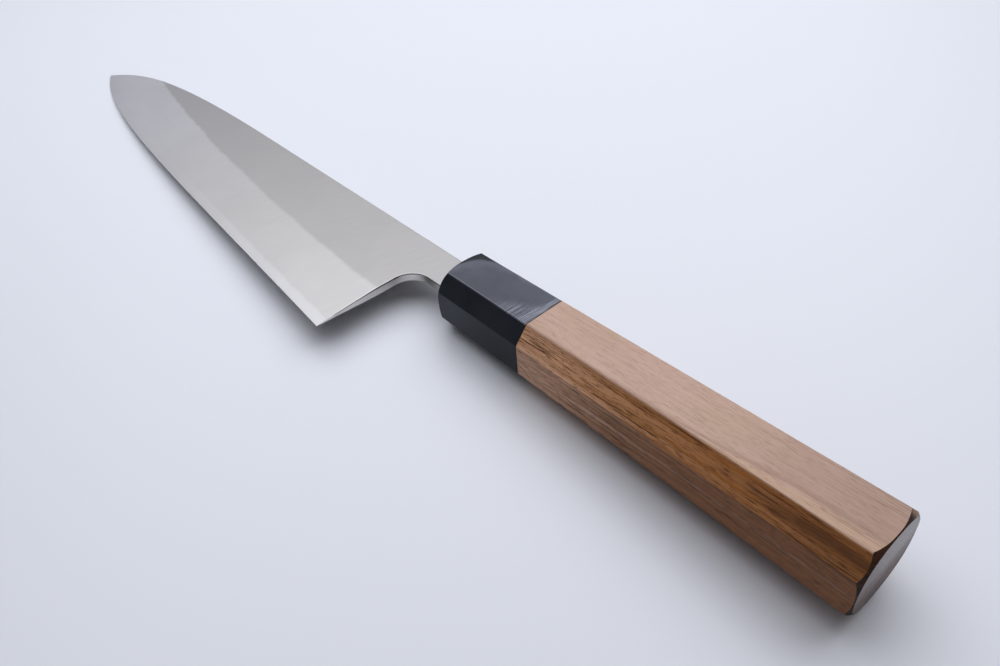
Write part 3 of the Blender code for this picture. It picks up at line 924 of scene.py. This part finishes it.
# The walnut's growth layers, by depth in millimetres below the handle's left side
LAYER_SPAN = 24.0
WALNUT_LAYERS = (
    (0.00, (0.556, 0.368, 0.290)),
    (0.18, (0.560, 0.320, 0.200)),
    (0.36, (0.250, 0.112, 0.046)),
    (0.55, (0.500, 0.245, 0.118)),
    (0.72, (0.200, 0.085, 0.032)),
    (0.95, (0.500, 0.240, 0.112)),
    (1.20, (0.280, 0.122, 0.048)),
    (1.45, (0.560, 0.275, 0.135)),
    (2.30, (0.620, 0.325, 0.170)),
    (3.20, (0.540, 0.270, 0.130)),
    (3.90, (0.590, 0.300, 0.150)),
    (4.15, (0.290, 0.125, 0.048)),
    (4.40, (0.520, 0.255, 0.110)),
    (4.70, (0.270, 0.115, 0.040)),
    (5.05, (0.560, 0.290, 0.150)),
    (6.00, (0.660, 0.380, 0.225)),
    (6.70, (0.360, 0.170, 0.075)),
    (7.40, (0.660, 0.370, 0.210)),
    (8.20, (0.230, 0.100, 0.040)),
    (9.00, (0.580, 0.315, 0.165)),
    (9.80, (0.280, 0.125, 0.050)),
    (10.80, (0.480, 0.240, 0.115)),
    (11.60, (0.300, 0.135, 0.055)),
    (12.15, (0.740, 0.470, 0.335)),
    (12.75, (0.700, 0.435, 0.300)),
    (13.20, (0.230, 0.100, 0.040)),
    (13.90, (0.600, 0.330, 0.180)),
    (14.80, (0.240, 0.106, 0.042)),
    (16.20, (0.540, 0.290, 0.155)),
    (18.00, (0.270, 0.122, 0.050)),
    (21.00, (0.520, 0.275, 0.145)),
    (24.00, (0.400, 0.200, 0.100)),
)


def walnut_effect():
    """The walnut's growth layers. They lie level with the handle's left side, sway a little and climb."""
    effect = Effect("walnut_layers", ["tone"], "Color", depth=0.0)
    vector = effect.into["Vector"]
    depth = effect.into["Depth"]
    slow = effect.noise(effect.stretched(vector, (16, 60, 60)), 1.0, 2.0, 0.5)
    quick = effect.noise(effect.stretched(vector, (95, 420, 420)), 1.0, 5.0, 0.68)
    sway = effect.product(effect.math("SUBTRACT", slow, 0.5), 2.6 * MM)
    ripple = effect.product(effect.math("SUBTRACT", quick, 0.5), 2.4 * MM)
    free = effect.ramp(depth, -0.4 * MM, 1.8 * MM)
    moved = effect.product(effect.math("ADD", sway, ripple), free)
    climb = effect.product(effect.split(vector)["X"], effect.ramp(depth, 2 * MM, 6 * MM), -0.0155)
    layer = effect.math("ADD", effect.math("ADD", depth, moved), climb)
    share = effect.product(layer, 1 / (LAYER_SPAN * MM))
    stops = [(place / LAYER_SPAN, color) for place, color in WALNUT_LAYERS]
    effect.give_out(tone=effect.bands(share, stops))
    return effect


HIRA_TONES = ((0.415, 0.397, 0.384), (0.440, 0.420, 0.407))
HIRA_COOL = (0.400, 0.382, 0.390)
BEVEL_TONES = ((0.490, 0.474, 0.460), (0.515, 0.498, 0.484))
BEVEL_COOL = (0.560, 0.545, 0.575)
CORE_TONE = (0.545, 0.532, 0.530)
HAZE_TONE = (0.30, 0.29, 0.29)
BUTT_TONES = ((0.078, 0.036, 0.024), (0.204, 0.116, 0.088))
LOW_END_ROUGHNESS = 0.26         # more at the butt's low end, where the photograph's face is dull
BURNISHED_TONES = ((0.020, 0.009, 0.005), (0.070, 0.031, 0.016))


def brushed(finish, place, hairlines, cloud):
    """The stone's faint slanting lines, the haze that it leaves and the cooler tone towards the tip."""
    leaning = finish.turned(place, 14)
    lines = finish.effect(hairlines, vector=finish.stretched(leaning, (2600, 90, 90)))["Mask"]
    haze = finish.effect(cloud, vector=place, density=48.0, least=0.90, most=1.0)["Level"]
    cool = finish.ramp(finish.split(place)["X"], 70 * MM, 240 * MM)
    return lines, haze, cool


def flat_and_bevel_steel(hairlines, cloud):
    """Soft steel: a hazy flat above the shinogi line, a brighter bevel below it."""
    finish = Finish("soft_steel_satin")
    place = finish.knife_coordinates()
    waver = finish.noise(finish.stretched(place, (70, 25, 25)), 1.0, 3.0, 0.6)
    below = finish.math("ADD", finish.marked("below_shinogi"), finish.product(waver, 3.2 * MM))
    bevel = finish.ramp(below, 0.9 * MM, 2.7 * MM)
    lines, haze, cool = brushed(finish, place, hairlines, cloud)
    flat_tone = finish.mix(cool, finish.mix(lines, *HIRA_TONES), HIRA_COOL)
    bevel_tone = finish.mix(cool, finish.mix(lines, *BEVEL_TONES), BEVEL_COOL)
    finish.set(
        base_color=finish.mix(haze, HAZE_TONE, finish.mix(bevel, flat_tone, bevel_tone)),
        metallic=1.0,
        roughness=finish.blend(bevel, 0.48, 0.46),
        normal=finish.bump(lines, 0.05, 0.05 * MM),
    )
    return finish.material


def bare_core_steel(hairlines, cloud):
    """Hard steel, a lighter band along the edge that fades into the bevel towards the tip."""
    finish = Finish("core_steel_polished")
    place = finish.knife_coordinates()
    waver = finish.noise(place, 170.0, 3.0, 0.55)
    below = finish.math("SUBTRACT", finish.marked("below_weld"), finish.product(waver, 1.8 * MM))
    band = finish.ramp(below, -0.6 * MM, 0.5 * MM)
    fade = finish.ramp(finish.split(place)["X"], 60 * MM, 190 * MM, 1.0, 0.1)
    lines, haze, cool = brushed(finish, place, hairlines, cloud)
    bevel_tone = finish.mix(cool, finish.mix(lines, *BEVEL_TONES), BEVEL_COOL)
    tone = finish.mix(finish.product(band, fade), bevel_tone, CORE_TONE)
    finish.set(
        base_color=finish.mix(haze, HAZE_TONE, tone),
        metallic=1.0,
        roughness=finish.blend(band, 0.46, 0.44),
        normal=finish.bump(lines, 0.04, 0.05 * MM),
    )
    return finish.material


def rounded_edge_steel(hairlines, cloud):
    """The polished spine, neck and choil."""
    finish = Finish("soft_steel_edges")
    place = finish.knife_coordinates()
    lines = finish.effect(hairlines, vector=finish.stretched(place, (160, 160, 3000)))["Mask"]
    haze = finish.effect(cloud, vector=place, density=150.0, least=0.85, most=1.0)["Level"]
    tone = finish.mix(lines, (0.60, 0.57, 0.55), (0.70, 0.67, 0.645))
    finish.set(
        base_color=finish.mix(haze, HAZE_TONE, tone),
        metallic=1.0,
        roughness=0.17,
        normal=finish.bump(lines, 0.05, 0.05 * MM),
    )
    return finish.material


def horn(facets, hairlines, cloud):
    """Polished black buffalo horn, with sanding lines left on the wide sides close to the joint."""
    finish = Finish("black_horn")
    place = finish.knife_coordinates()
    axes = finish.split(place)
    facet = finish.effect(facets, vector=place)
    on_side = finish.ramp(facet["Inside"], 0.5 * MM, 0.15 * MM)
    on_belly = finish.ramp(facet["Depth"], 5.2 * MM, 5.8 * MM)
    cloudy = finish.effect(cloud, vector=place, density=70.0, least=0.0, most=1.0)["Level"]

    slanted = finish.turned(place, 4)
    drawn = finish.stretched(slanted, (6500, 110, 110))
    lines = finish.effect(hairlines, vector=drawn, low=0.46, high=0.60)["Mask"]
    start = finish.ramp(axes["Y"], -5 * MM, 6.5 * MM, -32.5 * MM, -21.0 * MM)
    sanding_and_joint_highlight = finish.product(finish.ramp(finish.math("SUBTRACT", start, axes["X"]), 0.0, 9 * MM), lines)
    # A band along the joint is painted lighter: partly sanding lines, partly a painted highlight where the
    # eased edge catches light.
    joint_band_sanding_and_highlight = finish.product(
        finish.ramp(axes["X"], -33.6 * MM, -34.3 * MM),
        finish.ramp(axes["X"], -35.25 * MM, -35.5 * MM, 1.0, 0.0),
        finish.blend(lines, 0.25, 0.85),
    )
    sanding_and_joint_highlight = finish.product(finish.math("MAXIMUM", sanding_and_joint_highlight, joint_band_sanding_and_highlight), on_side)

    # The pale curved band on the wide side is painted sheen: a painted reflection of the light, put into the
    # base colour.
    across = finish.math("SUBTRACT", axes["Y"], finish.blend(cloudy, -9.2 * MM, -8.0 * MM))
    curve = finish.product(finish.math("SUBTRACT", 2 * MM, axes["X"]), across)
    painted_sheen = finish.product(
        finish.ramp(curve, 22 * MM * MM, 34 * MM * MM),
        finish.ramp(curve, 34 * MM * MM, 75 * MM * MM, 1.0, 0.66),
        finish.blend(cloudy, 0.7, 1.0),
        on_side,
    )
    # The belly is painted darker as painted shade, for the shaded table that it reflects, and a lighter grey
    # towards the front as a painted reflection of the lit table there.
    painted_table_reflection_front = finish.product(finish.ramp(axes["X"], -27 * MM, -6 * MM), on_belly)
    dark = finish.mix(cloudy, (0.016, 0.018, 0.022), (0.022, 0.025, 0.031))
    dark = finish.mix(finish.product(on_belly, 0.45), dark, (0.006, 0.008, 0.012))
    dark = finish.mix(painted_table_reflection_front, dark, (0.034, 0.038, 0.051))
    tone = finish.mix(painted_sheen, dark, (0.139, 0.141, 0.175))
    tone = finish.mix(sanding_and_joint_highlight, tone, (0.33, 0.34, 0.395))
    # The upper ridge is painted lighter: partly scuffed wear, partly a painted highlight.
    ridge_wear_and_painted_highlight = finish.ramp(facet["Upper ridge"], 0.13 * MM, 0.05 * MM)
    finish.set(
        base_color=finish.mix(ridge_wear_and_painted_highlight, tone, (0.27, 0.28, 0.31)),
        roughness=finish.blend(sanding_and_joint_highlight, finish.blend(cloudy, 0.07, 0.13), 0.45),
        specular_tint=(0.88, 0.92, 1.0, 1.0),
        specular_ior_level=0.08,
        ior=1.52,
        normal=finish.bump(lines, 0.03, 0.02 * MM),
    )
    return finish.material


def flat_grain(finish, place, wander, flat_side, tone):
    """The left side, level with the layers: mottled, with a pale tongue by its lower ridge at the butt."""
    axes = finish.split(place)
    mottle = finish.noise(finish.stretched(place, (55, 130, 130)), 1.0, 3.0, 0.55)
    patches = finish.product(finish.ramp(mottle, 0.42, 0.62), flat_side, 0.85)
    tone = finish.mix(patches, tone, (0.528, 0.360, 0.262))
    border = finish.ramp(axes["X"], -84 * MM, -128 * MM, 7.6 * MM, 4.1 * MM)
    over = finish.math("SUBTRACT", axes["Y"], finish.math("ADD", border, wander))
    tongue = finish.product(finish.ramp(over, -1.0 * MM, 0.2 * MM), flat_side)
    tone = finish.mix(finish.product(tongue, 0.8), tone, (0.585, 0.382, 0.262))
    inner = finish.ramp(over, -2.3 * MM, -1.4 * MM)
    outer = finish.ramp(over, -1.4 * MM, -0.5 * MM, 1.0, 0.0)
    tone = finish.mix(finish.product(inner, outer, flat_side, 0.42), tone, (0.290, 0.165, 0.115))
    # The left side turns darker towards the butt.
    darker_towards_butt = finish.product(
        finish.ramp(axes["X"], -88 * MM, -134 * MM, 0.0, 0.42),
        finish.ramp(tongue, 0.0, 1.0, 1.0, 0.4),
        flat_side,
    )
    tone = finish.mix(darker_towards_butt, tone, (0.310, 0.190, 0.150))
    far_edge = finish.product(
        finish.ramp(axes["Y"], -2.5 * MM, -6 * MM),
        finish.ramp(axes["X"], -104 * MM, -124 * MM),
    )
    return tone, finish.math("MAXIMUM", far_edge, tongue)


def cut_grain(finish, place, depth, wander, cut_through, low_down, tone):
    """The sides that cut through the layers: paler at the joint, darker and richer towards the butt, partly
    the wood's tone and partly painted shade.
    """
    along = finish.split(place)["X"]
    # Towards the butt, and lower down, the darkening is partly the wood's own tone and partly painted shade.
    rich = finish.product(finish.ramp(along, -40 * MM, -110 * MM, 0.0, 0.68), cut_through)
    tone = finish.mix(rich, tone, (0.310, 0.098, 0.010))
    below = finish.product(finish.ramp(along, -42 * MM, -88 * MM, 0.0, 0.40), low_down)
    tone = finish.mix(below, tone, (0.130, 0.054, 0.024))
    darker_towards_butt = finish.product(
        finish.ramp(along, -106 * MM, -134 * MM, 0.0, 0.42),
        finish.blend(low_down, 1.0, 0.15),
        cut_through,
    )
    tone = finish.mix(darker_towards_butt, tone, (0.100, 0.036, 0.009))
    fresh = finish.product(
        finish.ramp(along, -74 * MM, -38 * MM),
        finish.blend(low_down, 0.36, 0.60),
        cut_through,
    )
    tone = finish.mix(fresh, tone, (0.740, 0.440, 0.295))
    off_heart = finish.math("ABSOLUTE", finish.math("SUBTRACT", depth, finish.math("ADD", wander, 1.6 * MM)))
    heart = finish.product(
        finish.ramp(off_heart, 1.3 * MM, 0.3 * MM),
        finish.ramp(along, -100 * MM, -130 * MM, 0.0, 0.76),
    )
    return finish.mix(heart, tone, (0.075, 0.026, 0.008))


def walnut(facets, layers, wood, hairlines):
    """Oiled walnut along the grain."""
    finish = Finish("oiled_walnut")
    place = finish.knife_coordinates()
    along = finish.split(place)["X"]
    depth = finish.effect(facets, vector=place)["Depth"]
    flat_side = finish.ramp(depth, 0.25 * MM, 0.1 * MM)
    cut_through = finish.ramp(depth, 0.15 * MM, 0.7 * MM)
    low_down = finish.ramp(depth, 4.8 * MM, 6.5 * MM)
    wander = finish.product(finish.noise(finish.stretched(place, (40, 160, 160)), 1.0, 3.0, 0.6), 1.6 * MM)
    tone = finish.effect(layers, vector=place, depth=depth)["Tone"]
    tone, lined = flat_grain(finish, place, wander, flat_side, tone)
    tone = cut_grain(finish, place, depth, wander, cut_through, low_down, tone)

    leaning = finish.turned(place, -1.6)
    groups = finish.noise(finish.stretched(leaning, (22, 400, 400)), 1.0, 2.0, 0.5)
    drawn = finish.stretched(leaning, (28, 2000, 2000))
    streaks = finish.effect(hairlines, vector=drawn, low=0.50, high=0.58)["Mask"]
    grouped = finish.ramp(groups, 0.44, 0.55, 0.12, 1.0)
    on_cut = finish.blend(low_down, grouped, finish.product(grouped, 0.6))
    on_flat = finish.blend(lined, 0.07, 0.34)
    streaked = finish.product(streaks, finish.blend(cut_through, on_flat, on_cut))
    tone = finish.mix(streaked, tone, (0.095, 0.034, 0.011))
    fibre = finish.effect(wood, vector=place, pore_level=0.575)
    between_fibres = finish.product(finish.ramp(fibre["Fibre"], 0.62, 0.38), 0.14)
    tone = finish.mix(between_fibres, tone, (0.30, 0.15, 0.085))
    pores = finish.product(fibre["Pores"], finish.blend(cut_through, 0.24, 0.70))
    tone = finish.mix(pores, tone, (0.070, 0.026, 0.009))
    joint = -FERRULE_LENGTH - JOINT_GAP
    by_joint = finish.ramp(along, joint - 0.45 * MM, joint - 0.15 * MM)
    finish.set(
        base_color=finish.mix(by_joint, tone, (0.080, 0.045, 0.035)),
        roughness=finish.blend(fibre["Pores"], 0.42, 0.60),
        specular_ior_level=0.22,
        normal=finish.bump(fibre["Fibre"], 0.12, 0.1 * MM),
    )
    return finish.material


def end_grain(name, wood, tones, roughness, shine, paleness):
    """Walnut cut across the grain and burnished: small pores, and a paler corner at the upper back ridge."""
    finish = Finish(name)
    place = finish.knife_coordinates()
    axes = finish.split(place)
    ends_on = finish.stretched(place, (0.1, 0.25, 0.25))
    fibre = finish.effect(wood, vector=ends_on, pore_level=0.58)
    rings = finish.noise(finish.stretched(place, (20, 110, 420)), 1.0, 4.0, 0.65, 0.6)
    tone = finish.mix(finish.ramp(rings, 0.35, 0.65), *tones)
    pale_corner = finish.product(
        finish.ramp(axes["Y"], -6.0 * MM, -8.5 * MM),
        finish.ramp(axes["Z"], 2 * MM, 6 * MM),
    )
    tone = finish.mix(finish.product(pale_corner, paleness), tone, (0.42, 0.24, 0.155))
    finish.set(
        base_color=finish.mix(finish.product(fibre["Pores"], 0.5), tone, (0.016, 0.008, 0.005)),
        roughness=finish.ramp(axes["Z"], -9 * MM, 4 * MM, roughness + LOW_END_ROUGHNESS, roughness),
        specular_ior_level=shine,
    )
    return finish.material


def plain_wood(wood):
    """The pale dowel inside the handle."""
    finish = Finish("dowel_wood")
    fibre = finish.effect(wood, vector=finish.knife_coordinates(), pore_level=0.66)
    tone = finish.mix(fibre["Fibre"], (0.52, 0.38, 0.23), (0.68, 0.53, 0.36))
    finish.set(base_color=finish.mix(fibre["Pores"], tone, (0.38, 0.26, 0.15)), roughness=0.6)
    return finish.material


def compound(cloud):
    """Dark sealing compound round the neck."""
    finish = Finish("sealing_compound")
    place = finish.knife_coordinates()
    mottle = finish.effect(cloud, vector=place, density=900.0, least=0.0, most=1.0)["Level"]
    finish.set(base_color=finish.mix(mottle, (0.03, 0.027, 0.024), (0.06, 0.054, 0.048)), roughness=0.45)
    return finish.material


def give(piece, *finishes, slot_of=None):
    """Put materials on a piece, and choose each face's slot if there is more than one."""
    piece.data.materials.clear()
    for finish in finishes:
        piece.data.materials.append(finish)
    if slot_of:
        for face in piece.data.polygons:
            face.material_index = slot_of(face)


def measure(piece, name, length):
    """Keep a length for every point of a piece, for its material to read."""
    marks = piece.data.attributes.new(name, "FLOAT", "POINT")
    for vert, mark in zip(piece.data.vertices, marks.data):
        mark.value = length(vert.co)


# Set


def make_floor():
    """A plain pale table top."""
    deselect()
    bpy.ops.mesh.primitive_plane_add(size=6, location=(0, 0, 0))
    floor = bpy.context.object
    floor.name = "table_top"
    finish = Finish("pale_table")
    finish.set(base_color=(0.745, 0.755, 0.80), roughness=0.40)
    give(floor, finish.material)


def make_lamp(name, place, turn, size, radiance, color):
    """A soft rectangle of light. It shines along its own -z."""
    deselect()
    bpy.ops.object.light_add(type="AREA", location=place, rotation=[math.radians(angle) for angle in turn])
    lamp = bpy.context.object
    lamp.name = name
    lamp.data.shape = "RECTANGLE"
    lamp.data.size, lamp.data.size_y = size
    lamp.data.energy = math.pi * size[0] * size[1] * radiance
    lamp.data.color = color


def make_light():
    """A softbox over the far side of the knife, a pale wall behind it, a ceiling and a dim room."""
    make_lamp("softbox", (0.164, -0.308, 0.575), (0, 0, -40), (1.0, 1.26), 2.08, (0.94, 0.97, 1.03))
    make_lamp("pale_wall", (1.25, -0.75, 0.42), (0, 68, -31), (0.8, 2.6), 0.40, (0.94, 0.97, 1.03))
    make_lamp("ceiling", (-0.55, 0.45, 1.0), (-23, -28, 0), (1.6, 1.6), 0.12, (0.97, 0.98, 1.0))
    world = bpy.context.scene.world or bpy.data.worlds.new("room")
    bpy.context.scene.world = world
    world.use_nodes = True
    background = world.node_tree.nodes["Background"]
    background.inputs["Color"].default_value = (0.96, 0.93, 1.0, 1)
    background.inputs["Strength"].default_value = 0.07


def make_camera():
    """The photograph's viewpoint."""
    deselect()
    bpy.ops.object.camera_add(location=CAMERA_PLACE, rotation=[math.radians(angle) for angle in CAMERA_TURN])
    camera = bpy.context.object
    camera.name = "photo_camera"
    camera.data.lens = CAMERA_LENS
    camera.data.sensor_width = CAMERA_SENSOR
    camera.data.clip_start = 0.01
    bpy.context.scene.camera = camera


def main():
    """Build the pieces, dress them and light them."""
    make_camera()
    core, left, right = make_blade()
    ferrule, body = make_handle()

    hairlines = hairlines_effect()
    cloud = cloud_effect()
    wood = wood_effect()
    layers = walnut_effect()
    facets = facets_effect()
    edges = rounded_edge_steel(hairlines, cloud)
    satin = flat_and_bevel_steel(hairlines, cloud)
    give(core, bare_core_steel(hairlines, cloud), edges, slot_of=steel_slot)
    give(left, satin, edges, slot_of=steel_slot)
    give(right, satin, edges, slot_of=steel_slot)
    give(ferrule, horn(facets, hairlines, cloud))
    give(
        body,
        walnut(facets, layers, wood, hairlines),
        end_grain("walnut_end_grain", wood, BUTT_TONES, 0.26, 0.5, 0.0),
        end_grain("walnut_burnished_end", wood, BURNISHED_TONES, 0.40, 0.15, 0.9),
        slot_of=wood_slot,
    )
    give(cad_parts["tang_dowel"], plain_wood(wood))
    give(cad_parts["mouth_seal"], compound(cloud))

    dressed = (
        (core, "blade_core", "core_steel"),
        (left, "cladding_left", "soft_steel"),
        (right, "cladding_right", "soft_steel"),
        (ferrule, "ferrule", "buffalo_horn"),
        (body, "handle_body", "walnut"),
    )
    for piece, node, slot in dressed:
        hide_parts(node)
        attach(piece, "root")

    make_floor()
    make_light()
    bpy.context.scene.view_settings.view_transform = "Standard"


main()
